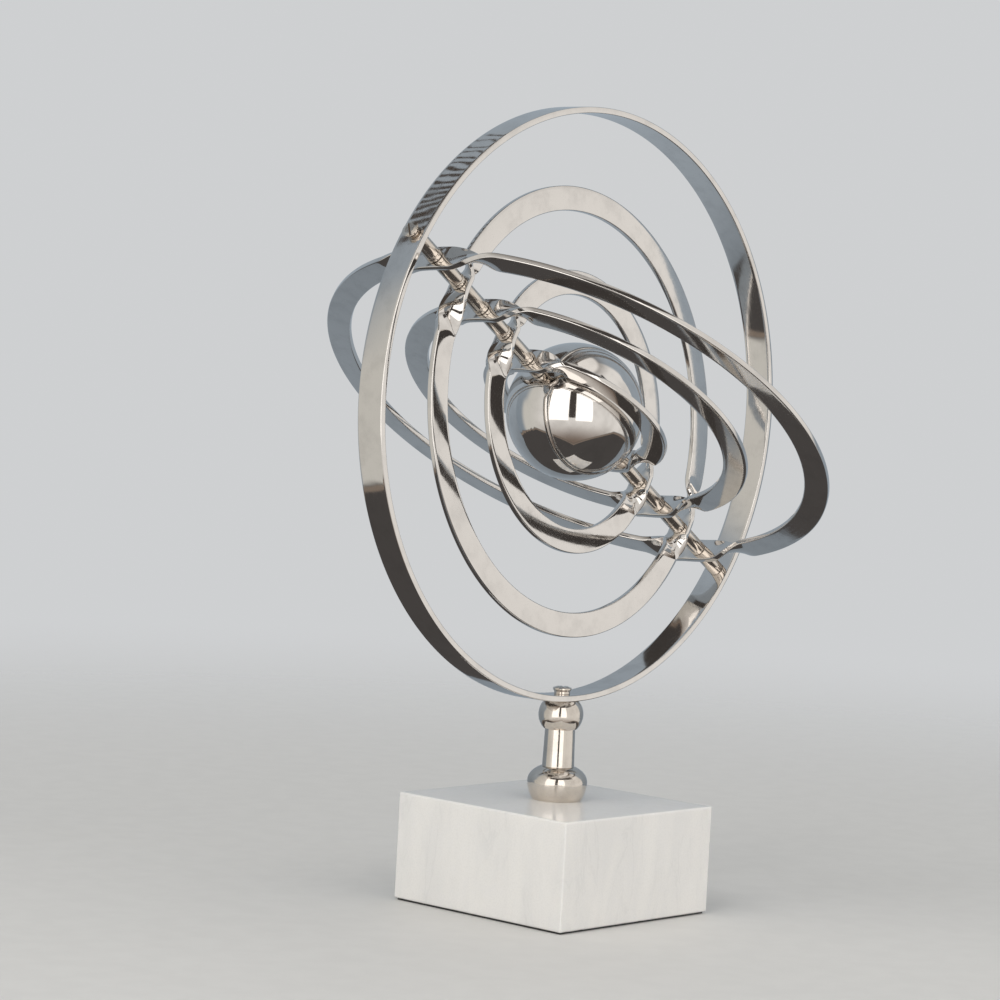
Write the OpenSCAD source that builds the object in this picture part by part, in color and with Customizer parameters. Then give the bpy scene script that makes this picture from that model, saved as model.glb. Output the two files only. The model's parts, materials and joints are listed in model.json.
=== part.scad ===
// Armillary sphere ornament: a hoop on a turned post and a marble block, with five
// twisted rings and a polished ball that turn freely on one slanting axle.
// Millimetres, +Z up, origin at the centre of the underside.

/* [Base] */

// side of the square marble block
base_side = 115; // [90:1:140]
// height of the marble block
base_height = 55; // [40:1:70]
// eased edge of the marble block
base_ease = 1.2; // [0.5:0.1:3]
// thickness of the felt sheet under the block
felt_thickness = 1; // [0.5:0.1:3]

/* [Post] */

// greatest diameter of the pressed ball standing on the marble
foot_diameter = 31; // [28:0.5:40]
// height of the pressed ball standing on the marble
foot_height = 17; // [14:0.5:20]
// height of the foot ball's widest level above the marble
foot_equator = 9.5; // [7:0.1:11]
// diameter of the foot ball's level top
foot_top_flat = 18.6; // [17:0.1:24]
// diameter of the foot ball's level underside
foot_bottom_flat = 25.4; // [17:0.1:27]
// diameter of the neck where it meets the foot
neck_bottom_diameter = 16.6; // [12:0.2:17]
// diameter of the neck where it meets the top ball
neck_top_diameter = 15.6; // [12:0.2:16]
// length of the neck
neck_length = 20; // [10:0.5:40]
// greatest diameter of the pressed ball under the hoop
top_diameter = 23.2; // [20:0.2:28]
// height of the pressed ball under the hoop
top_height = 14.5; // [11:0.5:16]
// diameter of the top ball's level top and underside
top_flat = 17.6; // [16:0.1:19]

/* [Hoop] */

// outside diameter of the fixed hoop
hoop_diameter = 304.8; // [290:0.2:330]
// width of the hoop's bar
hoop_width = 16; // [12:0.5:24]
// thickness of the hoop's bar
hoop_thickness = 3.2; // [2:0.1:4]

/* [Rings] */

// radius of the largest turning ring, at the middle of its bar
first_ring_radius = 131; // [129:0.5:134]
// step in radius from one ring to the next smaller one
ring_step = 21.5; // [21:0.1:22]
// width of the rings' bar
bar_width = 12.7; // [8:0.1:14]
// thickness of the rings' bar
bar_thickness = 3; // [2:0.1:4]
// length of bar that makes a quarter twist beside each pivot of the largest ring
first_twist = 30; // [24:1:40]
// how much shorter that length is on each next smaller ring
twist_step = 3; // [0:0.5:4]
// length of the quicker quarter twist on one side of the second and fourth rings' pivots
quick_twist = 12; // [10:1:24]

/* [Axle] */

// slope of the axle below the horizontal, in degrees
axle_slope = 34; // [20:1:50]
// how far the axle passes below the centre of the hoop
axle_drop = 4; // [0:0.5:6]
// diameter of the axle rod
axle_diameter = 5; // [4:0.1:6]
// outside diameter of the spacer tubes
spacer_diameter = 8; // [7:0.1:9]
// thickness of the collar on the outward side of each ring
collar_thickness = 2.4; // [1.5:0.1:4]

/* [Ball] */

// diameter of the polished ball
ball_diameter = 71; // [50:0.5:74]
// wall of the hollow ball
ball_wall = 1.5; // [1:0.1:3]

/* [Hidden] */

$fn = 96;
slack = 0.1;

// fits
running_gap = 0.05;
thread_gap = 0.02;
end_play = 0.25;

// how far each ring is turned about the axle when the ornament stands on show
ring_turns = [86, -6, 87, -7, 90];
ring_count = len(ring_turns);

// post screw, its nut and washer
screw_diameter = 6;
screw_clearance = 0.4;
screw_hole = screw_diameter + screw_clearance;
screw_head_diameter = 9.6;
screw_head_height = 3.9;
screw_slot_depth = 1.2;
screw_seat_lift = 0.1;
nut_across_flats = 10;
nut_height = 5;
washer_diameter = 20;
washer_thickness = 1.6;
counterbore_diameter = 26;
counterbore_depth = 20;
screw_tail = 3;
post_slot_turn = 30;
felt_inset = 1.5;
felt_hole = 30;

// axle end screws
end_thread = 3;
end_thread_length = 9;
end_hole_depth = 11;
end_head_diameter = 9.2;
end_head_height = 1.8;
end_slot_depth = 0.8;
end_collar_diameter = 5.6;
end_collar_thickness = 1.3;
end_collar_clearance = 0.2;
end_seat_lift = 0.15;
end_slot_turn = 35;
rod_recess = 0.3;

// screw heads, as shares of the head's radius or height
head_waist = 0.86;
head_waist_top = 0.35;
head_rim_bottom = 0.62;
head_rim_top = 0.82;
head_crown = 0.62;
head_overlap = 0.5;

// eased edges of the bars, and the corner chamfers of turned pieces
hoop_ease = 0.5;
bar_ease = 0.6;
turned_ease = 0.3;
slot_width = 1.3;

// untwisted length of bar from a pivot's centre: first, third and fifth rings, then the others
long_plate = 7;
short_plate = 3.2;

// stations along a quarter of a ring: untwisted plate, then twisting, then flat
twist_stations = 10;
flat_stations = 13;

// heights
marble_bottom = felt_thickness;
marble_top = marble_bottom + base_height;
foot_top = marble_top + foot_height;
neck_top = foot_top + neck_length;
post_top_height = neck_top + top_height;
hoop_radius = hoop_diameter / 2;
hoop_centre = post_top_height + hoop_radius;
hoop_inner = hoop_radius - hoop_thickness;
hoop_floor = post_top_height + hoop_thickness;

// distances along the axle, from the ball's centre
ball_radius = ball_diameter / 2;
axle_inside = sqrt(pow(hoop_inner, 2) - pow(axle_drop, 2));
axle_outside = sqrt(pow(hoop_radius, 2) - pow(axle_drop, 2));
collar_step = 0.4;
collar_diameter = spacer_diameter + collar_step;
bore_diameter = axle_diameter + 2 * running_gap;
half_bar = bar_thickness / 2;

function ring_radius(i) = first_ring_radius - ring_step * i;
function ring_outside(i) = ring_radius(i) + half_bar;
function ring_inside(i) = ring_radius(i) - half_bar;
function plate_length(i) = i % 2 == 0 ? long_plate : short_plate;

// a quarter twist on the side of the pivots before them, and on the side after them
function twist_before(i) = first_twist - twist_step * i;
function twist_after(i) = i % 2 == 0 ? twist_before(i) : quick_twist;

// ---- the twisted bar of a ring ----

// slow start, slow end
function ease(t) = let (c = min(1, max(0, t))) c * c * (3 - 2 * c);

// angles of the stations on a quarter ring, counted from its pivot
function quarter_angles(i, twist) =
    let (
        per_mm = 180 / (PI * ring_radius(i)),
        first = plate_length(i) * per_mm,
        last = (plate_length(i) + twist) * per_mm
    )
    concat(
        [0, first / 2],
        [for (k = [0 : twist_stations]) first + (last - first) * k / twist_stations],
        [for (k = [1 : flat_stations - 1]) last + (90 - last) * k / flat_stations]
    );

// angles of all stations around the ring: each quarter runs away from a pivot or towards one
function ring_angles(i) =
    let (
        away = quarter_angles(i, twist_after(i)),
        towards = quarter_angles(i, twist_before(i)),
        n = len(towards)
    )
    concat(
        away,
        [90],
        [for (k = [n - 1 : -1 : 1]) 180 - towards[k]],
        [for (a = away) 180 + a],
        [270],
        [for (k = [n - 1 : -1 : 1]) 360 - towards[k]]
    );

// how far the bar is twisted at an angle around the ring: half a turn through each pivot
function bar_twist(i, angle) =
    let (
        pivot = round(angle / 180),
        away = angle - 180 * pivot,
        run = abs(away) * PI / 180 * ring_radius(i) - plate_length(i),
        length = away > 0 ? twist_after(i) : twist_before(i)
    )
    180 * pivot + sign(away) * 90 * ease(run / length);

// the bar's section, eased at its four corners: [across the width, across the thickness]
function bar_section() =
    let (w = bar_width / 2, t = bar_thickness / 2, e = bar_ease)
    [
        [w, t - e], [w - e, t], [e - w, t], [-w, t - e],
        [-w, e - t], [e - w, -t], [w - e, -t], [w, e - t]
    ];

// one point of the section set in place: the axle is Z and the ring lies in the XZ plane
function bar_point(i, angle, p) =
    let (
        turn = bar_twist(i, angle),
        sideways = p[0] * cos(turn) + p[1] * sin(turn),
        outward = ring_radius(i) - p[0] * sin(turn) + p[1] * cos(turn)
    )
    [outward * sin(angle), sideways, outward * cos(angle)];

module twisted_ring(i) {
    angles = ring_angles(i);
    section = bar_section();
    n = len(angles);
    m = len(section);
    points = [for (a = angles) for (p = section) bar_point(i, a, p)];
    faces = [
        for (s = [0 : n - 1])
        for (k = [0 : m - 1])
        let (
            s2 = (s + 1) % n,
            k2 = (k + 1) % m,
            a = s * m + k,
            b = s * m + k2,
            c = s2 * m + k2,
            d = s2 * m + k
        )
        for (f = [[a, b, c], [a, c, d]])
        f
    ];
    polyhedron(points, faces);
}

// ---- placing ----

// local Z runs down along the axle from the ball's centre
module on_axle() {
    translate([
        -axle_drop * sin(axle_slope),
        0,
        hoop_centre - axle_drop * cos(axle_slope)
    ])
        rotate([0, 90 + axle_slope, 0])
            children();
}

// the same piece at both ends of the axle
module both_ends() {
    for (flip = [0, 180])
        rotate([flip, 0, 0])
            children();
}

// ---- small shared shapes ----

// a tube along Z with eased outer rims
module tube(outer, inner, from, to) {
    difference() {
        eased_rod(outer, from, to);
        translate([0, 0, from - slack])
            cylinder(d = inner, h = to - from + 2 * slack);
    }
}

module eased_rod(d, from, to) {
    rotate_extrude()
        polygon([
            [0, from],
            [d / 2 - turned_ease, from],
            [d / 2, from + turned_ease],
            [d / 2, to - turned_ease],
            [d / 2 - turned_ease, to],
            [0, to]
        ]);
}

// slotted round screw head standing on z = 0: a wide rim above a narrower waist
module slotted_head(d, h, slot_depth) {
    r = d / 2;
    difference() {
        rotate_extrude()
            polygon([
                [0, 0],
                [r * head_waist, 0],
                [r * head_waist, h * head_waist_top],
                [r, h * head_rim_bottom],
                [r, h * head_rim_top],
                [r * head_crown, h],
                [0, h]
            ]);
        translate([-d, -slot_width / 2, h - slot_depth])
            cube([2 * d, slot_width, slot_depth + slack]);
    }
}

// a ball pressed flat, standing on z = 0: two half ellipsoids meet at its equator, each cut level
module pressed_ball(d, h, equator, upper_flat, lower_flat) {
    rise = h - equator;
    rotate_extrude()
        translate([0, equator])
            union() {
                cut_ellipse(d, rise, upper_flat);
                mirror([0, 1])
                    cut_ellipse(d, equator, lower_flat);
            }
}

// quarter of an ellipse, d across at its foot, cut off at height h where it is flat_width across
module cut_ellipse(d, h, flat_width) {
    stretch = h / sqrt(1 - pow(flat_width / d, 2)) / (d / 2);
    intersection() {
        scale([1, stretch])
            circle(d = d);
        square([d, h]);
    }
}

// ---- base and post ----

module marble_block() {
    e = base_ease;
    s = base_side;
    // upright prism with eased corners, its top and bottom edges eased by two square frusta
    intersection() {
        linear_extrude(base_height)
            polygon([
                [s / 2 - e, s / 2], [e - s / 2, s / 2], [-s / 2, s / 2 - e], [-s / 2, e - s / 2],
                [e - s / 2, -s / 2], [s / 2 - e, -s / 2], [s / 2, e - s / 2], [s / 2, s / 2 - e]
            ]);
        rotate([90, 0, 0])
            translate([0, 0, -s / 2])
                linear_extrude(s)
                    eased_upright();
        rotate([90, 0, 90])
            translate([0, 0, -s / 2])
                linear_extrude(s)
                    eased_upright();
    }
}

module eased_upright() {
    e = base_ease;
    s = base_side;
    h = base_height;
    polygon([
        [e - s / 2, 0], [s / 2 - e, 0], [s / 2, e], [s / 2, h - e],
        [s / 2 - e, h], [e - s / 2, h], [-s / 2, h - e], [-s / 2, e]
    ]);
}

module marble_base() {
    color("whitesmoke")
        difference() {
            translate([0, 0, marble_bottom])
                marble_block();
            translate([0, 0, marble_bottom - slack])
                cylinder(d = counterbore_diameter, h = counterbore_depth + slack);
            cylinder(d = screw_hole, h = marble_top + slack);
        }
}

module base_felt() {
    side = base_side - 2 * felt_inset;
    color("dimgray")
        difference() {
            translate([-side / 2, -side / 2, 0])
                cube([side, side, felt_thickness]);
            translate([0, 0, -slack])
                cylinder(d = felt_hole, h = felt_thickness + 2 * slack);
        }
}

module base_washer() {
    color("silver")
        translate([0, 0, marble_bottom + counterbore_depth - washer_thickness])
            difference() {
                cylinder(d = washer_diameter, h = washer_thickness);
                translate([0, 0, -slack])
                    cylinder(d = screw_hole, h = washer_thickness + 2 * slack);
            }
}

module base_nut() {
    top = marble_bottom + counterbore_depth - washer_thickness;
    color("silver")
        translate([0, 0, top - nut_height])
            difference() {
                cylinder(d = nut_across_flats / cos(30), h = nut_height, $fn = 6);
                translate([0, 0, -slack])
                    cylinder(d = screw_diameter + 2 * thread_gap, h = nut_height + 2 * slack);
            }
}

module post_screw() {
    head_bottom = hoop_floor + screw_seat_lift;
    nut_bottom = marble_bottom + counterbore_depth - washer_thickness - nut_height;
    tail = nut_bottom - screw_tail;
    color("silver")
        union() {
            translate([0, 0, head_bottom])
                rotate([0, 0, post_slot_turn])
                    slotted_head(screw_head_diameter, screw_head_height, screw_slot_depth);
            translate([0, 0, tail])
                cylinder(d = screw_diameter, h = head_bottom - tail + head_overlap);
        }
}

module bored_for_screw(from, to) {
    difference() {
        children();
        translate([0, 0, from - slack])
            cylinder(d = screw_hole, h = to - from + 2 * slack);
    }
}

module post_foot() {
    color("silver")
        bored_for_screw(marble_top, foot_top)
            translate([0, 0, marble_top])
                pressed_ball(
                    foot_diameter,
                    foot_height,
                    foot_equator,
                    foot_top_flat,
                    foot_bottom_flat
                );
}

module post_neck() {
    color("silver")
        bored_for_screw(foot_top, neck_top)
            translate([0, 0, foot_top])
                cylinder(d1 = neck_bottom_diameter, d2 = neck_top_diameter, h = neck_length);
}

module post_top() {
    color("silver")
        bored_for_screw(neck_top, post_top_height)
            translate([0, 0, neck_top])
                pressed_ball(top_diameter, top_height, top_height / 2, top_flat, top_flat);
}

// ---- hoop ----

module outer_hoop() {
    w = hoop_width / 2;
    e = hoop_ease;
    color("silver")
        difference() {
            translate([0, 0, hoop_centre])
                rotate([90, 0, 0])
                    rotate_extrude($fn = 360)
                        polygon([
                            [hoop_inner + e, -w], [hoop_radius - e, -w],
                            [hoop_radius, e - w], [hoop_radius, w - e],
                            [hoop_radius - e, w], [hoop_inner + e, w],
                            [hoop_inner, w - e], [hoop_inner, e - w]
                        ]);
            on_axle()
                translate([0, 0, -hoop_diameter])
                    cylinder(d = bore_diameter, h = 2 * hoop_diameter);
            translate([0, 0, post_top_height - slack])
                cylinder(d = screw_hole, h = 4 * hoop_thickness);
        }
}

// ---- axle ----

module axle_rod() {
    reach = axle_outside - rod_recess;
    color("silver")
        on_axle()
            difference() {
                eased_rod(axle_diameter, -reach, reach);
                both_ends()
                    translate([0, 0, reach - end_hole_depth])
                        cylinder(d = end_thread + 2 * thread_gap, h = end_hole_depth + slack);
            }
}

module axle_end_collars() {
    from = axle_outside + end_seat_lift;
    color("silver")
        on_axle()
            both_ends()
                tube(
                    end_collar_diameter,
                    end_thread + end_collar_clearance,
                    from,
                    from + end_collar_thickness
                );
}

module axle_end_screws() {
    seat = axle_outside + end_seat_lift + end_collar_thickness;
    tip = axle_outside - rod_recess - end_thread_length;
    color("silver")
        on_axle()
            both_ends()
                union() {
                    translate([0, 0, seat])
                        rotate([0, 0, end_slot_turn])
                            slotted_head(end_head_diameter, end_head_height, end_slot_depth);
                    translate([0, 0, tip])
                        cylinder(d = end_thread, h = seat - tip + head_overlap);
                }
}

module hoop_spacers() {
    from = ring_outside(0) + end_play + collar_thickness;
    color("silver")
        on_axle()
            both_ends()
                tube(spacer_diameter, bore_diameter, from, axle_inside - end_play);
}

module ring_spacers() {
    color("silver")
        on_axle()
            for (i = [1 : ring_count - 1])
                both_ends()
                    tube(
                        spacer_diameter,
                        bore_diameter,
                        ring_outside(i) + end_play + collar_thickness,
                        ring_inside(i - 1) - end_play
                    );
}

module ball_spacers() {
    color("silver")
        on_axle()
            both_ends()
                tube(
                    spacer_diameter,
                    bore_diameter,
                    ball_radius + end_play,
                    ring_inside(ring_count - 1) - end_play
                );
}

module ring_collars() {
    color("silver")
        on_axle()
            for (i = [0 : ring_count - 1])
                both_ends()
                    tube(
                        collar_diameter,
                        bore_diameter,
                        ring_outside(i) + end_play,
                        ring_outside(i) + end_play + collar_thickness
                    );
}

// ---- turning pieces ----

// a ring with its two pivot holes, turned to its place about the axle
module pivoted_ring(i) {
    reach = first_ring_radius + bar_width;
    color("gainsboro")
        on_axle()
            rotate([0, 0, ring_turns[i]])
                difference() {
                    twisted_ring(i);
                    translate([0, 0, -reach])
                        cylinder(d = bore_diameter, h = 2 * reach);
                }
}

module ring_1() {
    pivoted_ring(0);
}

module ring_2() {
    pivoted_ring(1);
}

module ring_3() {
    pivoted_ring(2);
}

module ring_4() {
    pivoted_ring(3);
}

module ring_5() {
    pivoted_ring(4);
}

module centre_ball() {
    color("gainsboro")
        on_axle()
            difference() {
                sphere(r = ball_radius);
                sphere(r = ball_radius - ball_wall);
                translate([0, 0, -ball_radius - slack])
                    cylinder(d = bore_diameter, h = 2 * (ball_radius + slack));
            }
}

marble_base();
base_felt();
base_nut();
base_washer();
post_screw();
post_foot();
post_neck();
post_top();
outer_hoop();
axle_rod();
axle_end_screws();
axle_end_collars();
hoop_spacers();
ring_spacers();
ball_spacers();
ring_collars();
ring_1();
ring_2();
ring_3();
ring_4();
ring_5();
centre_ball();
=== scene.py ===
"""Looks for the armillary sphere: smooth meshes, procedural finishes and a plain pale studio.

Metres, +Z up. Each visible piece is built in a straight frame of its own, then set in place.
"""

import json
from math import asin, atan2, ceil, cos, hypot, pi, radians, sin, sqrt, tan

import bmesh
import bpy
from mathutils import Matrix, Quaternion, Vector, noise


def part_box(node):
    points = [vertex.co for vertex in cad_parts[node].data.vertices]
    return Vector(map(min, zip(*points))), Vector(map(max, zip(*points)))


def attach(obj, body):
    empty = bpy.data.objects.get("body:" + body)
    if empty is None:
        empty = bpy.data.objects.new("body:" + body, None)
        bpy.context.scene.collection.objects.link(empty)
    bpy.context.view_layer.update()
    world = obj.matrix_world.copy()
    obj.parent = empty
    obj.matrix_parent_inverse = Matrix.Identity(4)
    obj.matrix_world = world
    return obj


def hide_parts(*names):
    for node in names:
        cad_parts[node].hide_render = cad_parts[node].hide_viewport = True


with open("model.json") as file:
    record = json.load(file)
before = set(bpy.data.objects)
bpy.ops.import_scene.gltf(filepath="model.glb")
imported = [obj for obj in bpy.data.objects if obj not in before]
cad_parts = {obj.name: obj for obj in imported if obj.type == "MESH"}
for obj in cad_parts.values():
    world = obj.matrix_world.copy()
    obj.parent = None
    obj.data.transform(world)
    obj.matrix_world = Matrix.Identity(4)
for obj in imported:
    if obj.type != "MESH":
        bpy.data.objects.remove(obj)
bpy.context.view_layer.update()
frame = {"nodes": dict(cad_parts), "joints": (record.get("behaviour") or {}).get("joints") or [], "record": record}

# ---- sizes, in metres ----

MM = 0.001
SHARP_ANGLE = radians(32)
DRILL_PAST = 5 * MM

BASE_EASE = 1.0 * MM
BASE_CHIP = 0.35 * MM
BASE_ROWS = 60
FELT_EASE = 0.2 * MM
FELT_ROWS = 24
COUNTERBORE_RADIUS = 13 * MM
COUNTERBORE_DEPTH = 20 * MM
FELT_HOLE_RADIUS = 15 * MM
SCREW_RADIUS = 3 * MM
SCREW_HOLE_RADIUS = 3.2 * MM
THREAD_PITCH = 1.0 * MM
THREAD_DEPTH = 0.3 * MM
THREAD_LEAD_IN = 0.5 * MM
THREAD_LENGTH = 34 * MM
SCREW_HEAD_HEIGHT = 3.9 * MM

FOOT_EQUATOR = 9.5 * MM
FOOT_TOP_FLAT = 9.3 * MM
FOOT_BOTTOM_FLAT = 12.7 * MM
TOP_EQUATOR = 7.25 * MM
TOP_FLAT = 8.8 * MM
NECK_TAPER = 0.5 * MM
FOOT_UNEVEN = 0.12 * MM
NECK_UNEVEN = 0.04 * MM
TOP_UNEVEN = 0.1 * MM
POST_STEPS = 144
SMALL_STEPS = 72

HOOP_WIDTH = 16 * MM
HOOP_THICKNESS = 3.2 * MM
BAR_WIDTH = 12.7 * MM
BAR_THICKNESS = 3 * MM
BAR_EASE = 0.55 * MM
HOOP_EASE = 0.5 * MM
BAR_CROWN = 0.05 * MM
STATION_STEP = 1.1 * MM

FIRST_RING_RADIUS = 131 * MM
RING_STEP = 21.5 * MM
RING_TURNS = (86, -6, 87, -7, 90)
FIRST_TWIST = 30 * MM
TWIST_STEP = 3 * MM
QUICK_TWIST = 12 * MM
LONG_PLATE = 7 * MM
SHORT_PLATE = 3.2 * MM

AXLE_RADIUS = 2.5 * MM
BORE_RADIUS = 2.55 * MM
SPACER_RADIUS = 4 * MM
COLLAR_RADIUS = 4.2 * MM
COLLAR_LENGTH = 2.4 * MM
END_PLAY = 0.25 * MM
END_SEAT = 0.15 * MM
END_COLLAR_RADIUS = 2.8 * MM
END_COLLAR_LENGTH = 1.3 * MM
END_HEAD_RADIUS = 4.6 * MM
END_HEAD_HEIGHT = 1.8 * MM
END_SLOT_DEPTH = 0.8 * MM
END_THREAD_RADIUS = 1.5 * MM
END_HOLE_RADIUS = 1.52 * MM
END_THREAD_LENGTH = 9 * MM
END_HOLE_DEPTH = 11 * MM
ROD_RECESS = 0.3 * MM
SLOT_WIDTH = 1.3 * MM
SCREW_SLOT_DEPTH = 1.2 * MM
SCREW_SLOT_TURN = 30
END_SLOT_TURN = 35
HEAD_WAIST = 0.86
HEAD_CROWN = 0.62
TURNED_EASE = 0.3 * MM

BALL_WALL = 1.5 * MM

# ---- places taken from the model ----

joint = frame["joints"][0]
axle_centre = Vector(joint["pos_m"])
axle_direction = Vector(joint["axis"])
hoop_low, hoop_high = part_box("outer_hoop")
hoop_centre = (hoop_low + hoop_high) / 2
HOOP_RADIUS = (hoop_high.z - hoop_low.z) / 2
BALL_RADIUS = (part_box("centre_ball")[1].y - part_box("centre_ball")[0].y) / 2
AXLE_DROP = (hoop_centre - axle_centre).length
AXLE_INSIDE = sqrt((HOOP_RADIUS - HOOP_THICKNESS) ** 2 - AXLE_DROP**2)
AXLE_OUTSIDE = sqrt(HOOP_RADIUS**2 - AXLE_DROP**2)

# local Z runs down along the axle, local Y stays the row frame's Y
slope_turn = atan2(axle_direction.x, axle_direction.z)
ON_AXLE = Matrix.Translation(axle_centre) @ Matrix.Rotation(slope_turn, 4, "Y")
IN_HOOP = Matrix.Translation(hoop_centre)
FLIP = Matrix.Rotation(pi, 4, "X")
bodies = frame["record"]["behaviour"]["bodies"]
body_of = {node: body for body, nodes in bodies.items() for node in nodes}

# ---- outlines ----


def rounded(corners, steps=4):
    """Closed outline whose corners (x, y, radius) are replaced by arcs."""
    points = []
    for i, (x, y, radius) in enumerate(corners):
        here = Vector((x, y))
        if radius == 0:
            points.append(here)
            continue
        back = (Vector(corners[i - 1][:2]) - here).normalized()
        ahead = (Vector(corners[(i + 1) % len(corners)][:2]) - here).normalized()
        half = back.angle(ahead) / 2
        centre = here + (back + ahead).normalized() * radius / sin(half)
        start = here + back * radius / tan(half) - centre
        end = here + ahead * radius / tan(half) - centre
        for k in range(steps + 1):
            points.append(centre + start.lerp(end, k / steps).normalized() * radius)
    return points


def divided(outline, longest):
    """The same closed outline with no side longer than longest."""
    points = []
    for i, a in enumerate(outline):
        b = outline[(i + 1) % len(outline)]
        count = max(1, ceil((b - a).length / longest))
        points += [a.lerp(b, k / count) for k in range(count)]
    return points


def bar_section(width, thickness, ease):
    """Section of a polished flat bar, (across, through), a little thicker in the middle."""
    w = width / 2
    t = thickness / 2
    corners = [(w, t, ease), (-w, t, ease), (-w, -t, ease), (w, -t, ease)]
    section = []
    for p in divided(rounded(corners, 5), 1.2 * MM):
        crown = 1 + BAR_CROWN / t * (1 - (p.x / w) ** 2)
        section.append((p.x, p.y * crown))
    return section


def tube_outline(outer, inner, start, end):
    ease = TURNED_EASE
    return rounded([(inner, start, 0), (outer, start, ease), (outer, end, ease), (inner, end, 0)])


def rod_outline(radius, start, end, ease=TURNED_EASE):
    return rounded([(0, start, 0), (radius, start, ease), (radius, end, ease), (0, end, 0)])


def arc(radius, start, end, steps):
    """Points on a circle round the origin, angles in radians counted from the axis."""
    angles = [start + (end - start) * k / steps for k in range(steps + 1)]
    return [Vector((radius * sin(a), radius * cos(a))) for a in angles]


def pressed_ball(node, equator, top_radius, bottom_radius):
    """Outline of a ball with flat ends and a bore, fuller below its equator than above it."""
    low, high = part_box(node)
    radius = (high.x - low.x) / 2
    above = (high.z - low.z - equator) / sqrt(1 - (top_radius / radius) ** 2)
    below = equator / sqrt(1 - (bottom_radius / radius) ** 2)
    outline = [Vector((SCREW_HOLE_RADIUS, low.z))]
    steps = 40
    start = -asin(equator / below)
    end = asin((high.z - low.z - equator) / above)
    for k in range(steps + 1):
        a = start + (end - start) * k / steps
        tall = above if a > 0 else below
        outline.append(Vector((radius * cos(a), low.z + equator + tall * sin(a))))
    outline.append(Vector((SCREW_HOLE_RADIUS, high.z)))
    return outline


# ---- meshes ----


def new_object(name, points, faces, straight):
    """A smooth object; straight holds each point's place in the piece's own straight frame."""
    mesh = bpy.data.meshes.new(name)
    mesh.from_pydata([tuple(p) for p in points], [], faces)
    own = mesh.attributes.new("straight", "FLOAT_VECTOR", "POINT")
    own.data.foreach_set("vector", [c for p in straight for c in p])
    obj = bpy.data.objects.new(name, mesh)
    bpy.context.scene.collection.objects.link(obj)
    return tidy_mesh(obj)


def tidy_mesh(obj):
    """Joins coincident points, turns every face outward and shades smooth with crisp edges."""
    bm = bmesh.new()
    bm.from_mesh(obj.data)
    bmesh.ops.remove_doubles(bm, verts=bm.verts, dist=1e-7)
    bmesh.ops.recalc_face_normals(bm, faces=bm.faces)
    bm.to_mesh(obj.data)
    bm.free()
    obj.data.shade_smooth()
    obj.data.set_sharp_from_angle(angle=SHARP_ANGLE)
    return obj


def grid_faces(rows, columns):
    """Quads over a grid closed both ways."""
    faces = []
    for r in range(rows):
        for c in range(columns):
            r2 = (r + 1) % rows
            c2 = (c + 1) % columns
            faces.append((r * columns + c, r * columns + c2, r2 * columns + c2, r2 * columns + c))
    return faces


def lathe(name, outline, steps=96, shape=None):
    """The closed outline (radius, height) turned about local Z; shape may move each point."""
    points = []
    for s in range(steps):
        angle = 2 * pi * s / steps
        for p in outline:
            points.append(Vector((p.x * cos(angle), p.x * sin(angle), p.y)))
    moved = [shape(p) for p in points] if shape else points
    return new_object(name, moved, grid_faces(steps, len(outline)), points)


def bar_loop(name, radius, section, twist):
    """A bar bent into a loop in the local XZ plane; twist gives its turn at an angle from +Z."""
    stations = ceil(2 * pi * radius / STATION_STEP / 8) * 8
    points = []
    straight = []
    for s in range(stations):
        angle = 360 * s / stations
        turn = radians(twist(angle))
        a = radians(angle)
        for across, through in section:
            sideways = across * cos(turn) + through * sin(turn)
            outward = radius - across * sin(turn) + through * cos(turn)
            points.append((outward * sin(a), sideways, outward * cos(a)))
            straight.append(((radius + through) * sin(a), across, (radius + through) * cos(a)))
    return new_object(name, points, grid_faces(stations, len(section)), straight)


def joined(name, objects):
    """One object made of separate solids."""
    mesh = bpy.data.meshes.new(name)
    bm = bmesh.new()
    for obj in objects:
        bm.from_mesh(obj.data)
        bpy.data.objects.remove(obj)
    bm.to_mesh(mesh)
    bm.free()
    whole = bpy.data.objects.new(name, mesh)
    bpy.context.scene.collection.objects.link(whole)
    return whole


def cut(obj, *tools):
    """Takes the tools away from obj, and removes them."""
    for tool in tools:
        step = obj.modifiers.new("cut", "BOOLEAN")
        step.operation = "DIFFERENCE"
        step.solver = "EXACT"
        step.object = tool
    depsgraph = bpy.context.evaluated_depsgraph_get()
    mesh = bpy.data.meshes.new_from_object(
        obj.evaluated_get(depsgraph), preserve_all_data_layers=True, depsgraph=depsgraph
    )
    obj.modifiers.clear()
    obj.data = mesh
    for tool in tools:
        bpy.data.objects.remove(tool)
    return tidy_mesh(obj)


def placed(obj, matrix):
    obj.data.transform(matrix)
    return obj


def drill(radius, start, end):
    return lathe("drill", rod_outline(radius, start, end, ease=0), steps=64)


def slot_cutter(top, turn, depth):
    """A bar that cuts a driver's slot across a screw head whose top is at this height."""
    bpy.ops.mesh.primitive_cube_add(size=1)
    cutter = bpy.context.object
    size = Matrix.Diagonal((0.03, SLOT_WIDTH, 2 * depth, 1))
    turned = Matrix.Translation((0, 0, top)) @ Matrix.Rotation(radians(turn), 4, "Z")
    return placed(cutter, turned @ size)


def stands_for(obj, node, finish):
    """obj is what's seen of a node: it moves with the node's body and takes the node's finish."""
    obj.data.materials.clear()
    obj.data.materials.append(finish)
    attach(obj, body_of[node])
    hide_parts(node)
    return obj


# ---- shader helpers ----


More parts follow.
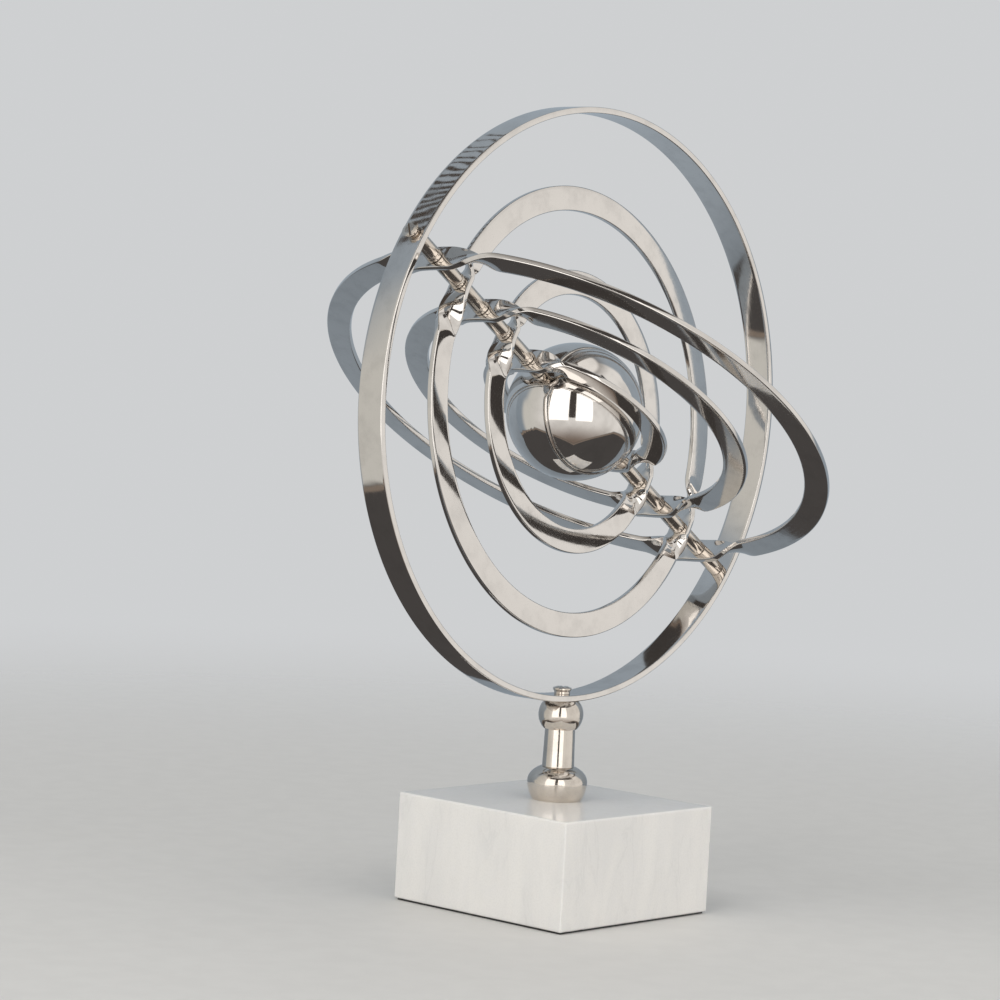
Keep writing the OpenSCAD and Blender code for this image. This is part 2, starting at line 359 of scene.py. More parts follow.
def add(tree, kind, settings=None, **inputs):
    """A node with its settings and inputs; an input may be a value or another node's socket."""
    made = tree.nodes.new(kind)
    for key, value in (settings or {}).items():
        setattr(made, key, value)
    for key, value in inputs.items():
        key = key.replace("_", " ")
        socket = made.inputs[int(key[1:])] if key[1:].isdigit() else made.inputs[key]
        if isinstance(value, bpy.types.NodeSocket):
            tree.links.new(value, socket)
        else:
            socket.default_value = value
    return made


def maths(tree, operation, a, b=0.0):
    return add(tree, "ShaderNodeMath", {"operation": operation}, i0=a, i1=b).outputs[0]


def remap(tree, value, low, high, to_low=0.0, to_high=1.0):
    """Value from low..high to to_low..to_high, with smooth ends."""
    made = add(
        tree, "ShaderNodeMapRange", {"interpolation_type": "SMOOTHSTEP"},
        Value=value, From_Min=low, From_Max=high, To_Min=to_low, To_Max=to_high,
    )
    return made.outputs["Result"]


def mixed(tree, share, a, b):
    made = add(tree, "ShaderNodeMix", {"data_type": "RGBA"}, Factor=share)
    for socket, value in ((made.inputs[6], a), (made.inputs[7], b)):
        if isinstance(value, bpy.types.NodeSocket):
            tree.links.new(value, socket)
        else:
            socket.default_value = (*value, 1)
    return made.outputs[2]


def straight_place(tree, scale):
    """Place in the piece's straight frame, in millimetres times scale on each axis."""
    own = add(tree, "ShaderNodeAttribute", {"attribute_name": "straight"})
    per_mm = [s / MM for s in scale]
    return add(tree, "ShaderNodeMapping", Vector=own.outputs["Vector"], Scale=per_mm).outputs[0]


def cloud(tree, vector, scale=1.0, detail=3.0, roughness=0.5, distortion=0.0):
    made = add(
        tree, "ShaderNodeTexNoise",
        Vector=vector, Scale=scale, Detail=detail, Roughness=roughness, Distortion=distortion,
    )
    return made.outputs["Fac"]


def new_material(name):
    material = bpy.data.materials.new(name)
    material.use_nodes = True
    tree = material.node_tree
    shader = tree.nodes["Principled BSDF"]
    return material, tree, shader


# ---- finishes ----


def polished_nickel(name, colour, roughness, grain, ripple=0.0, pits=0.0):
    """Warm mirror-polished nickel plate.

    grain is the scale of the buffing lines on each axis of the piece's straight frame, ripple
    the height in mm of slow waves, and pits the height in mm of casting marks.
    """
    material, tree, shader = new_material(name)
    everywhere = straight_place(tree, (1, 1, 1))
    smudges = cloud(tree, everywhere, scale=0.09, detail=4, roughness=0.6)
    lines = cloud(tree, straight_place(tree, grain), scale=1.0, detail=2)
    waves = cloud(tree, straight_place(tree, (1, 0.25, 1)), scale=0.16, detail=1.5)
    specks = cloud(tree, everywhere, scale=1.6, detail=2, roughness=0.7)
    marks = remap(tree, specks, 0.6, 0.78)

    tired = [c * 0.9 for c in colour]
    tone = mixed(tree, remap(tree, smudges, 0.42, 0.72), colour, tired)
    worn = mixed(tree, maths(tree, "MULTIPLY", marks, 0.25), tone, [c * 0.45 for c in colour])
    tree.links.new(worn, shader.inputs["Base Color"])
    shader.inputs["Metallic"].default_value = 1

    dull = remap(tree, smudges, 0.45, 0.8, roughness, roughness + 0.04)
    streaks = remap(tree, lines, 0.3, 0.7, 0.0, 0.035)
    tree.links.new(maths(tree, "ADD", dull, streaks), shader.inputs["Roughness"])

    height = maths(tree, "MULTIPLY", waves, ripple)
    height = maths(tree, "ADD", height, maths(tree, "MULTIPLY", lines, 0.0004))
    height = maths(tree, "SUBTRACT", height, maths(tree, "MULTIPLY", marks, pits))
    bump = add(tree, "ShaderNodeBump", Strength=1.0, Distance=MM, Height=height)
    tree.links.new(bump.outputs["Normal"], shader.inputs["Normal"])
    return material


def plain_steel():
    material, tree, shader = new_material("plain_steel")
    place = add(tree, "ShaderNodeTexCoord").outputs["Object"]
    in_mm = add(tree, "ShaderNodeMapping", Vector=place, Scale=(1 / MM, 1 / MM, 1 / MM)).outputs[0]
    stain = cloud(tree, in_mm, scale=0.4, detail=4)
    scratch = cloud(tree, in_mm, scale=3.0, detail=2)
    tone = mixed(tree, stain, (0.42, 0.41, 0.40), (0.62, 0.61, 0.60))
    tree.links.new(tone, shader.inputs["Base Color"])
    shader.inputs["Metallic"].default_value = 1
    tree.links.new(remap(tree, stain, 0.3, 0.7, 0.25, 0.45), shader.inputs["Roughness"])
    bump = add(tree, "ShaderNodeBump", Strength=0.6, Distance=0.01 * MM, Height=scratch)
    tree.links.new(bump.outputs["Normal"], shader.inputs["Normal"])
    return material


def white_marble():
    """Polished white marble with faint clouds, thin grey veins and fine crystals."""
    material, tree, shader = new_material("white_marble")
    place = straight_place(tree, (1, 1, 1))
    slanted = add(
        tree, "ShaderNodeMapping",
        Vector=place, Rotation=(0.1, 0.05, 0.6), Scale=(1, 1, 0.3),
    ).outputs[0]
    clouds = cloud(tree, slanted, scale=0.045, detail=5, roughness=0.55, distortion=0.4)
    drift = cloud(tree, slanted, scale=0.05, detail=6, roughness=0.6, distortion=1.2)
    vein = maths(tree, "ABSOLUTE", maths(tree, "SUBTRACT", drift, 0.5))
    vein = remap(tree, vein, 0.0, 0.035, 1.0, 0.0)
    vein = maths(tree, "MULTIPLY", vein, remap(tree, clouds, 0.42, 0.66))
    crystals = cloud(tree, place, scale=1.1, detail=3)

    tone = mixed(tree, remap(tree, clouds, 0.35, 0.7), (0.85, 0.84, 0.82), (0.79, 0.785, 0.775))
    tone = mixed(tree, maths(tree, "MULTIPLY", vein, 0.14), tone, (0.50, 0.505, 0.51))
    tone = mixed(tree, remap(tree, crystals, 0.38, 0.75, 0.0, 0.2), tone, (0.67, 0.665, 0.65))
    tree.links.new(tone, shader.inputs["Base Color"])
    tree.links.new(remap(tree, clouds, 0.3, 0.7, 0.10, 0.2), shader.inputs["Roughness"])
    shader.inputs["Subsurface Weight"].default_value = 0.12
    shader.inputs["Subsurface Radius"].default_value = (0.004, 0.0036, 0.003)
    shader.inputs["Subsurface Scale"].default_value = 1.0
    bump = add(tree, "ShaderNodeBump", Strength=0.25, Distance=0.02 * MM, Height=crystals)
    tree.links.new(bump.outputs["Normal"], shader.inputs["Normal"])
    return material


def dark_felt():
    material, tree, shader = new_material("dark_felt")
    place = straight_place(tree, (1, 1, 1))
    fibres = cloud(tree, place, scale=2.2, detail=5, roughness=0.75)
    patches = cloud(tree, place, scale=0.12, detail=3)
    tone = mixed(tree, fibres, (0.012, 0.012, 0.013), (0.045, 0.045, 0.047))
    tone = mixed(tree, remap(tree, patches, 0.45, 0.8, 0.0, 0.4), tone, (0.06, 0.058, 0.055))
    tree.links.new(tone, shader.inputs["Base Color"])
    shader.inputs["Roughness"].default_value = 0.95
    shader.inputs["Sheen Weight"].default_value = 0.3
    bump = add(tree, "ShaderNodeBump", Strength=0.8, Distance=0.15 * MM, Height=fibres)
    tree.links.new(bump.outputs["Normal"], shader.inputs["Normal"])
    return material


# scale of the buffing lines on each axis
ROLLED = (0.05, 2.5, 0.05)
TURNED = (0.1, 0.1, 3.0)
CAST = (0.1, 0.1, 2.0)
SPUN = (0.05, 0.05, 1.5)

nickel_bar = polished_nickel("nickel_bar", (0.74, 0.71, 0.68), 0.035, ROLLED, ripple=0.014)
nickel_small = polished_nickel("nickel_small", (0.72, 0.655, 0.585), 0.15, TURNED, pits=0.01)
nickel_post = polished_nickel("nickel_post", (0.70, 0.645, 0.585), 0.07, CAST, ripple=0.02, pits=0.03)
nickel_ball = polished_nickel("nickel_ball", (0.76, 0.73, 0.70), 0.025, SPUN, ripple=0.006)
steel = plain_steel()
marble = white_marble()
felt = dark_felt()

# ---- base ----


def eased_slab(name, low, high, ease, count, shape=None):
    """A box with rounded edges, with close rows of points along the edges."""
    size = high - low
    lines = []
    for axis in range(3):
        inner = [low[axis] + ease + (size[axis] - 2 * ease) * k / count for k in range(count + 1)]
        rim = [ease * k / 4 for k in range(4)]
        lines.append([low[axis] + r for r in rim] + inner + [high[axis] - r for r in reversed(rim)])
    points = []
    index = {}
    faces = []

    def point(i, j, k):
        if (i, j, k) not in index:
            p = Vector((lines[0][i], lines[1][j], lines[2][k]))
            core = Vector([min(max(p[a], low[a] + ease), high[a] - ease) for a in range(3)])
            away = p - core
            if away.length > 0 and sum(abs(a) > 0 for a in away) > 1:
                p = core + away.normalized() * max(abs(a) for a in away)
            index[i, j, k] = len(points)
            points.append(p)
        return index[i, j, k]

    last = len(lines[0]) - 1
    for a in range(last):
        for b in range(last):
            for side in (0, last):
                for axis in range(3):
                    quad = []
                    for da, db in ((0, 0), (1, 0), (1, 1), (0, 1)):
                        spot = [a + da, b + db]
                        spot.insert(axis, side)
                        quad.append(point(*spot))
                    faces.append(quad)
    moved = [shape(p) for p in points] if shape else points
    return new_object(name, moved, faces, points)


def chipped(low, high):
    """Moves points near the block's edges inward here and there, as small chips do."""
    centre = (low + high) / 2

    def shape(p):
        near = sorted(min(p[a] - low[a], high[a] - p[a]) for a in range(3))
        if near[1] > 1.5 * BASE_EASE:
            return p
        wear = noise.noise(p * 160) + 0.6 * noise.noise(p * 420)
        depth = BASE_CHIP * max(0.0, wear - 0.42) / 0.5
        return p + (centre - p).normalized() * min(depth, BASE_CHIP)

    return shape


low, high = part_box("marble_base")
block = eased_slab("marble_block", low, high, BASE_EASE, BASE_ROWS, chipped(low, high))
cut(
    block,
    drill(SCREW_HOLE_RADIUS, low.z - DRILL_PAST, high.z + DRILL_PAST),
    drill(COUNTERBORE_RADIUS, low.z - DRILL_PAST, low.z + COUNTERBORE_DEPTH),
)
stands_for(block, "marble_base", marble)

low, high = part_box("base_felt")
pad = eased_slab("felt_pad", low, high, FELT_EASE, FELT_ROWS)
cut(pad, drill(FELT_HOLE_RADIUS, low.z - DRILL_PAST, high.z + DRILL_PAST))
stands_for(pad, "base_felt", felt)

for node in ("base_nut", "base_washer"):
    part = frame["nodes"][node]
    part.data.materials.clear()
    part.data.materials.append(steel)

# ---- post ----


def cast_surface(height):
    """Shape that leaves a turned casting slightly uneven."""

    def shape(p):
        away = Vector((p.x, p.y, 0))
        if away.length < 1.1 * SCREW_HOLE_RADIUS:
            return p
        return p + away.normalized() * height * noise.noise(p * 130)

    return shape


foot_outline = pressed_ball("post_foot", FOOT_EQUATOR, FOOT_TOP_FLAT, FOOT_BOTTOM_FLAT)
foot = lathe("foot_ball", foot_outline, POST_STEPS, cast_surface(FOOT_UNEVEN))
stands_for(foot, "post_foot", nickel_post)

low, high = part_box("post_neck")
neck_outline = rounded(
    [
        (SCREW_HOLE_RADIUS, low.z, 0),
        ((high.x - low.x) / 2, low.z, TURNED_EASE),
        ((high.x - low.x) / 2 - NECK_TAPER, high.z, TURNED_EASE),
        (SCREW_HOLE_RADIUS, high.z, 0),
    ]
)
neck = lathe("neck_tube", divided(neck_outline, 1 * MM), POST_STEPS, cast_surface(NECK_UNEVEN))
stands_for(neck, "post_neck", nickel_post)

top_outline = pressed_ball("post_top", TOP_EQUATOR, TOP_FLAT, TOP_FLAT)
top_ball = lathe("top_ball", top_outline, POST_STEPS, cast_surface(TOP_UNEVEN))
stands_for(top_ball, "post_top", nickel_post)

# ---- screws ----


def head_outline(radius, bottom, height):
    """Round head with a narrower waist under its rim and a slightly domed top."""
    waist = radius * HEAD_WAIST
    return [
        (waist, bottom, height * 0.03),
        (waist, bottom + height * 0.35, height * 0.08),
        (radius, bottom + height * 0.62, height * 0.05),
        (radius, bottom + height * 0.82, height * 0.09),
        (radius * HEAD_CROWN, bottom + height, height * 0.2),
    ]


def threaded(start, end):
    """Shape that cuts a screw thread between two heights."""

    def shape(p):
        radius = hypot(p.x, p.y)
        if not (start < p.z < end and abs(radius - SCREW_RADIUS) < 0.1 * MM):
            return p
        phase = (p.z / THREAD_PITCH - atan2(p.y, p.x) / (2 * pi)) % 1
        depth = THREAD_DEPTH * abs(2 * phase - 1)
        return Vector((p.x * (1 - depth / radius), p.y * (1 - depth / radius), p.z))

    return shape


low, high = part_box("post_screw")
head_bottom = high.z - SCREW_HEAD_HEIGHT
shank = [(0, low.z, 0), (SCREW_RADIUS, low.z, TURNED_EASE), (SCREW_RADIUS, head_bottom, 0)]
head = head_outline((high.x - low.x) / 2, head_bottom, SCREW_HEAD_HEIGHT)
outline = divided(rounded(shank + head + [(0, high.z, 0)]), 0.2 * MM)
thread = threaded(low.z + THREAD_LEAD_IN, low.z + THREAD_LENGTH)
screw = lathe("centre_screw", outline, SMALL_STEPS, thread)
cut(screw, slot_cutter(high.z, SCREW_SLOT_TURN, SCREW_SLOT_DEPTH))
stands_for(screw, "post_screw", nickel_small)


def end_screw():
    seat = AXLE_OUTSIDE + END_SEAT + END_COLLAR_LENGTH
    tip = AXLE_OUTSIDE - ROD_RECESS - END_THREAD_LENGTH
    shank = [(0, tip, 0), (END_THREAD_RADIUS, tip, 0.2 * MM), (END_THREAD_RADIUS, seat, 0)]
    head = head_outline(END_HEAD_RADIUS, seat, END_HEAD_HEIGHT)
    top = seat + END_HEAD_HEIGHT
    made = lathe("end_screw", rounded(shank + head + [(0, top, 0)]), SMALL_STEPS)
    return cut(made, slot_cutter(top, END_SLOT_TURN, END_SLOT_DEPTH))


# ---- axle and its small pieces ----


def tube(outer, inner, start, end):
    return lathe("tube", tube_outline(outer, inner, start, end), SMALL_STEPS)


def at_both_ends(make):
    """The same piece at both ends of the axle."""
    return [make(), placed(make(), FLIP)]


def set_on_axle(name, parts, node, finish):
    stands_for(placed(joined(name, parts), ON_AXLE), node, finish)
    crisp = bpy.data.objects[name].data
    crisp.shade_smooth()
    crisp.set_sharp_from_angle(angle=SHARP_ANGLE)


def ring_radius(i):
    return FIRST_RING_RADIUS - RING_STEP * i


def outside_ring(i):
    return ring_radius(i) + BAR_THICKNESS / 2


def inside_ring(i):
    return ring_radius(i) - BAR_THICKNESS / 2


reach = AXLE_OUTSIDE - ROD_RECESS
ring_count = len(RING_TURNS)

rod = lathe("axle_bar", rod_outline(AXLE_RADIUS, -reach, reach), SMALL_STEPS)
end_hole = (END_HOLE_RADIUS, reach - END_HOLE_DEPTH, reach + MM)
cut(rod, drill(*end_hole), placed(drill(*end_hole), FLIP))
set_on_axle("axle_bar_polished", [rod], "axle_rod", steel)

set_on_axle("end_screws", at_both_ends(end_screw), "axle_end_screws", nickel_small)
set_on_axle(
    "end_collars",
    at_both_ends(
        lambda: tube(
            END_COLLAR_RADIUS,
            END_THREAD_RADIUS + 0.1 * MM,
            AXLE_OUTSIDE + END_SEAT,
            AXLE_OUTSIDE + END_SEAT + END_COLLAR_LENGTH,
        )
    ),
    "axle_end_collars",
    nickel_small,
)
set_on_axle(
    "hoop_spacer_tubes",
    at_both_ends(
        lambda: tube(
            SPACER_RADIUS,
            BORE_RADIUS,
            outside_ring(0) + END_PLAY + COLLAR_LENGTH,
            AXLE_INSIDE - END_PLAY,
        )
    ),
    "hoop_spacers",
    nickel_small,
)
spacers = []
collars = []
for i in range(ring_count):
    collar_start = outside_ring(i) + END_PLAY
    collar_end = collar_start + COLLAR_LENGTH
    collars += at_both_ends(lambda: tube(COLLAR_RADIUS, BORE_RADIUS, collar_start, collar_end))
    if i > 0:
        spacer_end = inside_ring(i - 1) - END_PLAY
        spacers += at_both_ends(lambda: tube(SPACER_RADIUS, BORE_RADIUS, collar_end, spacer_end))
set_on_axle("ring_spacer_tubes", spacers, "ring_spacers", nickel_small)
set_on_axle("ring_collar_tubes", collars, "ring_collars", nickel_small)
set_on_axle(
    "ball_spacer_tubes",
    at_both_ends(
        lambda: tube(
            SPACER_RADIUS,
            BORE_RADIUS,
            BALL_RADIUS + END_PLAY,
            inside_ring(ring_count - 1) - END_PLAY,
        )
    ),
    "ball_spacers",
    nickel_small,
)

# ---- hoop, rings and ball ----


def untwisted(angle):
    return 0.0


def ease(t):
    t = min(1.0, max(0.0, t))
    return t * t * (3 - 2 * t)


def half_turns(i):
    """Twist of a ring's bar: half a turn through each pivot, beyond a short untwisted plate.

    Rings 2 and 4 have a shorter plate and twist more quickly on one side of each pivot.
    """
    plate = LONG_PLATE if i % 2 == 0 else SHORT_PLATE
    before = FIRST_TWIST - TWIST_STEP * i
    after = before if i % 2 == 0 else QUICK_TWIST

    def twist(angle):
        pivot = round(angle / 180)
        away = angle - 180 * pivot
        run = abs(radians(away)) * ring_radius(i) - plate
        if away > 0:
            return 180 * pivot + 90 * ease(run / after)
        return 180 * pivot - 90 * ease(run / before)

    return twist


hoop_section = bar_section(HOOP_WIDTH, HOOP_THICKNESS, HOOP_EASE)
hoop = bar_loop("hoop_bar", HOOP_RADIUS - HOOP_THICKNESS / 2, hoop_section, untwisted)
placed(hoop, IN_HOOP)
axle_drill = placed(drill(BORE_RADIUS, -2 * HOOP_RADIUS, 2 * HOOP_RADIUS), ON_AXLE)
bottom = hoop_low.z
post_drill = drill(SCREW_HOLE_RADIUS, bottom - DRILL_PAST, bottom + HOOP_THICKNESS + DRILL_PAST)
cut(hoop, axle_drill, post_drill)
stands_for(hoop, "outer_hoop", nickel_bar)

ring_section = bar_section(BAR_WIDTH, BAR_THICKNESS, BAR_EASE)
for i, turn in enumerate(RING_TURNS):
    radius = ring_radius(i)
    ring = bar_loop(f"ring_bar_{i + 1}", radius, ring_section, half_turns(i))
    cut(ring, drill(BORE_RADIUS, -2 * radius, 2 * radius))
    placed(ring, ON_AXLE @ Matrix.Rotation(radians(turn), 4, "Z"))
    stands_for(ring, f"ring_{i + 1}", nickel_bar)

outer_edge = asin(BORE_RADIUS / BALL_RADIUS)
inner_edge = asin(BORE_RADIUS / (BALL_RADIUS - BALL_WALL))
skin = arc(BALL_RADIUS, outer_edge, pi - outer_edge, 160)
lining = arc(BALL_RADIUS - BALL_WALL, pi - inner_edge, inner_edge, 60)
ball = placed(lathe("polished_ball", skin + lining, 192), ON_AXLE)
stands_for(ball, "centre_ball", nickel_ball)

# ---- studio ----

CAMERA_AZIMUTH = -47.76
CAMERA_ELEVATION = 3.1
CAMERA_ROLL = 3.1
CAMERA_DISTANCE = 1.734
CAMERA_LENS = 121.3
CAMERA_TARGET = Vector((-0.0251, 0.0277, 0.2091))

BACKDROP = (0.62, 0.63, 0.64)
FLOOR = (0.66, 0.66, 0.65)
FLOOR_RADIUS = 3.0
DIFFUSE_SHARE = 0.8
WALL = (0.32, 0.37, 0.42)
WALL_DISTANCE = 0.17
WALL_WIDTH = 0.84
WALL_HEIGHT = 0.56
SLATS = (0.07, 0.058, 0.05)
FRAME = (0.07, 0.062, 0.058)
PANEL = (1.8, 1.76, 1.7)
PLANKS = (0.22, 0.17, 0.14)
TABLE = (0.075, 0.07, 0.068)
TABLE_EDGE = (0.42, 0.33, 0.26)


def direction(azimuth, elevation):
    """Unit vector towards a place round the object; azimuth 0 is at -Y and 90 at +X."""
    a = radians(azimuth)
    e = radians(elevation)
    return Vector((sin(a) * cos(e), -cos(a) * cos(e), sin(e)))


def add_camera():
    back = direction(CAMERA_AZIMUTH, CAMERA_ELEVATION)
    data = bpy.data.cameras.new("camera")
    data.lens = CAMERA_LENS
    data.sensor_width = 36
    data.clip_start = 0.05
    data.clip_end = 50
    camera = bpy.data.objects.new("camera", data)
    bpy.context.scene.collection.objects.link(camera)
    camera.rotation_mode = "QUATERNION"
    camera.location = CAMERA_TARGET + back * CAMERA_DISTANCE
    level = back.to_track_quat("Z", "Y")
    camera.rotation_quaternion = Quaternion(back, radians(CAMERA_ROLL)) @ level
    bpy.context.scene.camera = camera


def add_floor():
    """A pale floor that fades into the backdrop a little way out."""
    bpy.ops.mesh.primitive_circle_add(vertices=96, radius=FLOOR_RADIUS, fill_type="TRIFAN")
    floor = bpy.context.object
    floor.name = "floor"
    material, tree, shader = new_material("pale_floor")
    place = add(tree, "ShaderNodeTexCoord").outputs["Object"]
    distance = add(tree, "ShaderNodeVectorMath", {"operation": "LENGTH"}, i0=place).outputs["Value"]
    grain = cloud(tree, place, scale=60, detail=4)
    tone = mixed(tree, remap(tree, grain, 0.3, 0.7), FLOOR, [c * 0.97 for c in FLOOR])
    tree.links.new(tone, shader.inputs["Base Color"])
    shader.inputs["Roughness"].default_value = 0.6
    tree.links.new(remap(tree, distance, 0.25, 1.5, 1.0, 0.0), shader.inputs["Alpha"])
    floor.data.materials.append(material)
    floor.visible_glossy = False


def add_softbox(name, azimuth, elevation, distance, size, power):
    data = bpy.data.lights.new(name, "AREA")
    data.shape = "RECTANGLE"
    data.size, data.size_y = size
    data.energy = power
    data.color = (1.0, 0.97, 0.93)
    lamp = bpy.data.objects.new(name, data)
    bpy.context.scene.collection.objects.link(lamp)
    back = direction(azimuth, elevation)
    lamp.location = CAMERA_TARGET + back * distance
    lamp.rotation_mode = "QUATERNION"
    lamp.rotation_quaternion = back.to_track_quat("Z", "Y")
    lamp.visible_glossy = False


def band(tree, value, low, high, soft):
    """1 where value lies between low and high, fading over soft."""
    rise = remap(tree, value, low - soft, low)
    fall = remap(tree, value, high, high + soft, 1.0, 0.0)
    return maths(tree, "MULTIPLY", rise, fall)


def walls(tree, turned, side, rise):
    """Cream walls with a cool one behind and on the left, and a dim ceiling with a skylight."""
    drift = cloud(tree, turned, scale=2.2, detail=2)
    cream = mixed(tree, remap(tree, drift, 0.35, 0.65), (0.92, 0.90, 0.87), (0.80, 0.78, 0.75))
    cream = mixed(tree, remap(tree, side, -85, -45, 1.0, 0.0), cream, (0.66, 0.65, 0.61))
    cool = mixed(tree, remap(tree, rise, -20, 50), (0.26, 0.31, 0.36), (0.36, 0.41, 0.46))
    left = remap(tree, side, -100, -84, 1.0, 0.0)
    low = remap(tree, rise, 4, 16, 1.0, 0.0)
    low_left = maths(tree, "MULTIPLY", remap(tree, side, -104, -92), low)
    left = maths(tree, "MULTIPLY", left, maths(tree, "SUBTRACT", 1.0, low_left))
    behind = maths(tree, "MAXIMUM", left, remap(tree, side, 116, 126))
    room = mixed(tree, behind, cream, cool)
    room = mixed(tree, remap(tree, rise, 48, 75), room, (0.20, 0.18, 0.165))
    skylight = maths(tree, "MULTIPLY", remap(tree, rise, 62, 68), band(tree, side, 15, 140, 10))
    return mixed(tree, skylight, room, (0.95, 0.92, 0.88))


def slatted_arch(tree, turned, side, rise):
    """Share of an arch high on the left made of wavy slats, thin at its far end, solid higher up."""
    curve = maths(tree, "ADD", side, 132.0)
    curve = maths(tree, "MULTIPLY", maths(tree, "MULTIPLY", curve, curve), 0.0095)
    above = maths(tree, "ADD", maths(tree, "SUBTRACT", rise, 44.0), curve)
    quick = add(tree, "ShaderNodeMapping", Vector=turned, Scale=(1, 1, 3)).outputs[0]
    uneven = maths(tree, "MULTIPLY", cloud(tree, quick, scale=8, detail=2), 14.0)
    wave = maths(tree, "SINE", maths(tree, "ADD", maths(tree, "MULTIPLY", side, 1.75), uneven))
    thin = remap(tree, side, -162, -122, 0.8, -0.3)
    slats = maths(tree, "MULTIPLY", maths(tree, "SUBTRACT", wave, thin), 2.5)
    solid = remap(tree, above, 5, 9, 0.0, 4.0)
    share = remap(tree, maths(tree, "ADD", slats, solid), -0.5, 0.5)
    inside = maths(tree, "MULTIPLY", remap(tree, above, -0.5, 0.5), band(tree, side, -164, -107, 2))
    return maths(tree, "MULTIPLY", share, inside)


def with_panels(tree, room, side, rise):
    """The room with two bright panels in a dark frame, in front of the object."""
    frame_top = maths(tree, "MULTIPLY", band(tree, rise, 44, 55, 3), band(tree, side, -50, 75, 4))
    frame_bar = maths(tree, "MULTIPLY", band(tree, rise, -8, 48, 1), band(tree, side, -12, 2, 1))
    room = mixed(tree, maths(tree, "MAXIMUM", frame_top, frame_bar), room, FRAME)
    left_panel = band(tree, side, -48, -12, 2)
    right_panel = band(tree, side, 2, 28, 2)
    both_panels = maths(tree, "ADD", left_panel, right_panel)
    panels = maths(tree, "MULTIPLY", both_panels, band(tree, rise, -12, 42, 2))
    return mixed(tree, panels, room, PANEL)


def with_table(tree, room, turned, side, rise):
    """The room above a dark table, whose near corner lets a stretch of wooden floor show beyond."""
    in_front = remap(tree, maths(tree, "ABSOLUTE", side), 55, 80, 1.0, 0.0)
    planks = maths(tree, "MULTIPLY", remap(tree, rise, -50, -10, 1.0, 0.0), in_front)
    room = mixed(tree, planks, room, PLANKS)
    beyond = maths(tree, "SUBTRACT", 30.0, maths(tree, "MULTIPLY", maths(tree, "ABSOLUTE", side), 0.4))
    loose = maths(tree, "SUBTRACT", cloud(tree, turned, scale=9, detail=1), 0.5)
    loose = maths(tree, "MULTIPLY", loose, remap(tree, side, -85, -65, 8.0, 0.6))
    edge = maths(tree, "ADD", rise, maths(tree, "MAXIMUM", beyond, 0.0))
    edge = maths(tree, "ADD", edge, loose)
    scene = mixed(tree, remap(tree, edge, -24, -22), TABLE, room)
    ledge = maths(tree, "MULTIPLY", band(tree, edge, -25.5, -24, 0.7), 0.5)
    return mixed(tree, ledge, scene, TABLE_EDGE)


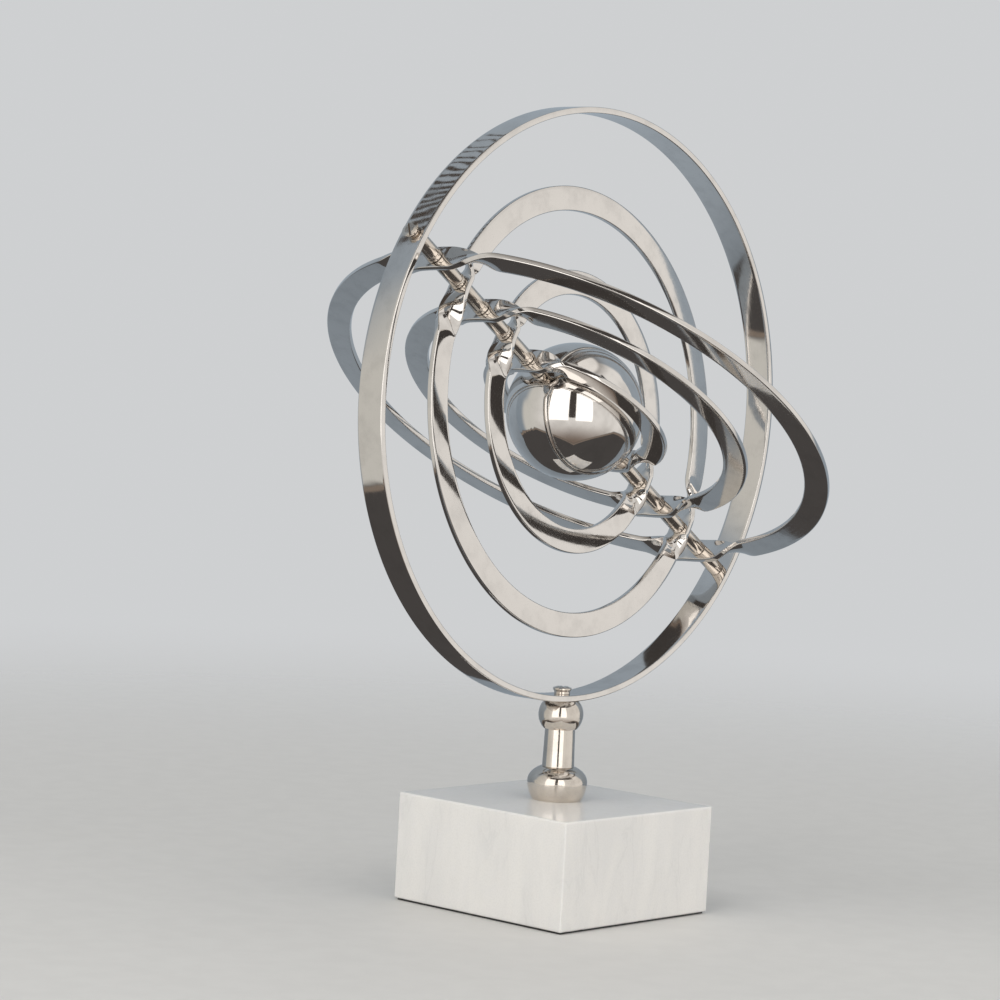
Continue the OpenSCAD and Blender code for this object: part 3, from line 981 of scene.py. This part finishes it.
def add_world():
    """Plain backdrop for the camera, and a room for reflections and light.

    The room is laid out by side and rise, in degrees round the object; 0, 0 is at the camera.
    """
    world = bpy.data.worlds.new("studio")
    bpy.context.scene.world = world
    world.use_nodes = True
    tree = world.node_tree
    background = tree.nodes["Background"]
    ray = add(tree, "ShaderNodeTexCoord").outputs["Generated"]
    turned = add(
        tree, "ShaderNodeVectorRotate", {"rotation_type": "Z_AXIS"},
        Vector=ray, Angle=radians(-CAMERA_AZIMUTH),
    ).outputs[0]
    parts = add(tree, "ShaderNodeSeparateXYZ", Vector=turned).outputs
    towards = maths(tree, "MULTIPLY", parts[1], -1.0)
    side = maths(tree, "DEGREES", maths(tree, "ARCTAN2", parts[0], towards))
    rise = maths(tree, "DEGREES", maths(tree, "ARCSINE", parts[2]))

    room = walls(tree, turned, side, rise)
    room = mixed(tree, slatted_arch(tree, turned, side, rise), room, SLATS)
    room = with_panels(tree, room, side, rise)
    room = with_table(tree, room, turned, side, rise)

    path = add(tree, "ShaderNodeLightPath").outputs
    shown = mixed(tree, path["Is Camera Ray"], room, BACKDROP)
    tree.links.new(shown, background.inputs["Color"])
    strength = remap(tree, path["Is Diffuse Ray"], 0.0, 1.0, 1.0, DIFFUSE_SHARE)
    tree.links.new(strength, background.inputs["Strength"])


def add_reflected_wall():
    """A wall close behind, seen only in reflections."""
    bpy.ops.mesh.primitive_plane_add(size=1)
    wall = bpy.context.object
    wall.name = "reflected_wall"
    back = direction(CAMERA_AZIMUTH, 0)
    upright = Matrix.Rotation(radians(CAMERA_AZIMUTH), 4, "Z") @ Matrix.Rotation(pi / 2, 4, "X")
    centre = Vector((0, 0, WALL_HEIGHT / 2)) - back * WALL_DISTANCE
    size = Matrix.Diagonal((WALL_WIDTH, WALL_HEIGHT, 1, 1))
    wall.matrix_world = Matrix.Translation(centre) @ upright @ size
    material = bpy.data.materials.new("reflected_wall")
    material.use_nodes = True
    tree = material.node_tree
    tree.nodes.clear()
    spot = add(tree, "ShaderNodeTexCoord").outputs["Object"]
    scaled = add(tree, "ShaderNodeMapping", Vector=spot, Scale=(WALL_WIDTH, WALL_HEIGHT, 1)).outputs[0]
    shade = cloud(tree, scaled, scale=3, detail=2)
    tone = mixed(tree, shade, WALL, [c * 1.25 for c in WALL])
    height = add(tree, "ShaderNodeSeparateXYZ", Vector=scaled).outputs[1]
    low = remap(tree, height, -0.5 * WALL_HEIGHT, 0.1 * WALL_HEIGHT, 0.55, 0.0)
    tone = mixed(tree, low, tone, [c * 0.5 for c in WALL])
    light = add(tree, "ShaderNodeEmission", Color=tone)
    out = add(tree, "ShaderNodeOutputMaterial")
    tree.links.new(light.outputs[0], out.inputs["Surface"])
    wall.data.materials.append(material)
    wall.visible_camera = False
    wall.visible_diffuse = False
    wall.visible_shadow = False
    wall.visible_transmission = False


add_camera()
add_floor()
add_softbox("key", CAMERA_AZIMUTH - 40, 50, 1.6, (1.2, 0.9), 10)
add_softbox("fill", CAMERA_AZIMUTH + 55, 35, 1.8, (1.2, 1.2), 6)
add_softbox("top", CAMERA_AZIMUTH + 150, 70, 1.8, (1.4, 1.4), 6)
add_world()
add_reflected_wall()
bpy.context.scene.view_settings.view_transform = "Standard"
